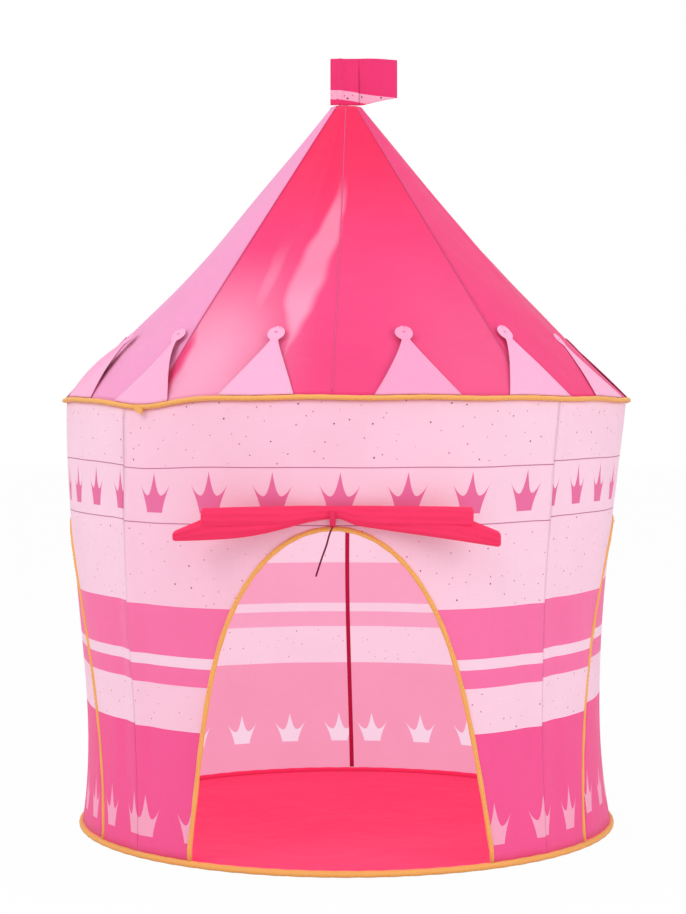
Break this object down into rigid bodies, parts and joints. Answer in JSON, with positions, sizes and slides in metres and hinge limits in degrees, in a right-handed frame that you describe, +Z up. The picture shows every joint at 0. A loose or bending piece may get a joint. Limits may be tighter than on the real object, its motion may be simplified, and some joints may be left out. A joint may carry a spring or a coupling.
{
  "type": "kids play tent",
  "caption": "Round cloth castle tent on hoops and poles: cone roof with flag and flaps, arched doorway with a rolled door, two curtained side arches, floor.",
  "frame": {"origin": "centre of the floor, on the ground", "axes": "+Z up, the doorway faces -Y, +X is to the right of someone who looks in at the doorway"},
  "size_m": [1.0492, 1.0495, 1.415],
  "materials": {
    "printed_cloth": "woven polyester",
    "roof_cloth": "woven polyester",
    "pale_roof_cloth": "woven polyester",
    "flap_cloth": "woven polyester",
    "floor_cloth": "woven polyester",
    "yellow_binding": "bias tape",
    "dark_tape": "woven tape",
    "coated_wire": "plastic coat",
    "pole": "smooth",
    "fitting": "moulded"
  },
  "bodies": {
    "tent": {"floor_sheet": "floor_cloth", "base_hoop_wire": "coated_wire", "eave_hoop_wire": "coated_wire", "door_arch_wire": "coated_wire", "left_arch_wire": "coated_wire", "right_arch_wire": "coated_wire", "base_binding": "yellow_binding", "eave_binding": "yellow_binding", "door_arch_binding": "yellow_binding", "left_arch_binding": "yellow_binding", "right_arch_binding": "yellow_binding", "wall_front": "printed_cloth", "wall_left": "printed_cloth", "wall_right": "printed_cloth", "wall_back": "printed_cloth", "back_seam_tape": "dark_tape", "roof_front": "roof_cloth", "roof_right": "roof_cloth", "roof_back": "roof_cloth", "roof_left": "pale_roof_cloth", "apex_cap": "roof_cloth", "flag_stick": "pole", "apex_hub": "fitting", "roof_flap_01": "flap_cloth", "roof_flap_02": "flap_cloth", "roof_flap_03": "flap_cloth", "roof_flap_04": "flap_cloth", "roof_flap_05": "flap_cloth", "roof_flap_06": "flap_cloth", "roof_flap_07": "flap_cloth", "roof_flap_08": "flap_cloth", "roof_flap_09": "flap_cloth", "roof_flap_10": "flap_cloth", "roof_flap_11": "flap_cloth", "roof_flap_12": "flap_cloth", "roof_flap_13": "flap_cloth", "roof_flap_14": "flap_cloth", "front_left_foot": "fitting", "front_left_upright": "pole", "front_left_elbow": "fitting", "front_left_roof_pole": "pole", "front_right_foot": "fitting", "front_right_upright": "pole", "front_right_elbow": "fitting", "front_right_roof_pole": "pole", "back_right_foot": "fitting", "back_right_upright": "pole", "back_right_elbow": "fitting", "back_right_roof_pole": "pole", "back_left_foot": "fitting", "back_left_upright": "pole", "back_left_elbow": "fitting", "back_left_roof_pole": "pole"},
    "flag": {"flag": "roof_cloth"},
    "rolled_door": {"door_roll": "floor_cloth", "tie_band": "dark_tape", "tie_cord": "dark_tape"},
    "left_curtain": {"left_curtain": "printed_cloth"},
    "right_curtain": {"right_curtain": "printed_cloth"}
  },
  "joints": [
    {"name": "flag_swivel", "type": "hinge", "parent": "tent", "child": "flag", "pos_m": [-0.012, 0, 1.329], "axis": [0, 0, 1], "continuous": true},
    {"name": "rolled_door_swing", "type": "hinge", "parent": "tent", "child": "rolled_door", "pos_m": [0, -0.51143, 0.598], "axis": [-1, 0, 0], "range_deg": [0, 80]},
    {"name": "left_curtain_swing", "type": "hinge", "parent": "tent", "child": "left_curtain", "pos_m": [-0.49888, 0, 0.5602], "axis": [0, 1, 0], "range_deg": [0, 85]},
    {"name": "right_curtain_swing", "type": "hinge", "parent": "tent", "child": "right_curtain", "pos_m": [0.49888, 0, 0.5602], "axis": [0, -1, 0], "range_deg": [0, 85]}
  ]
}
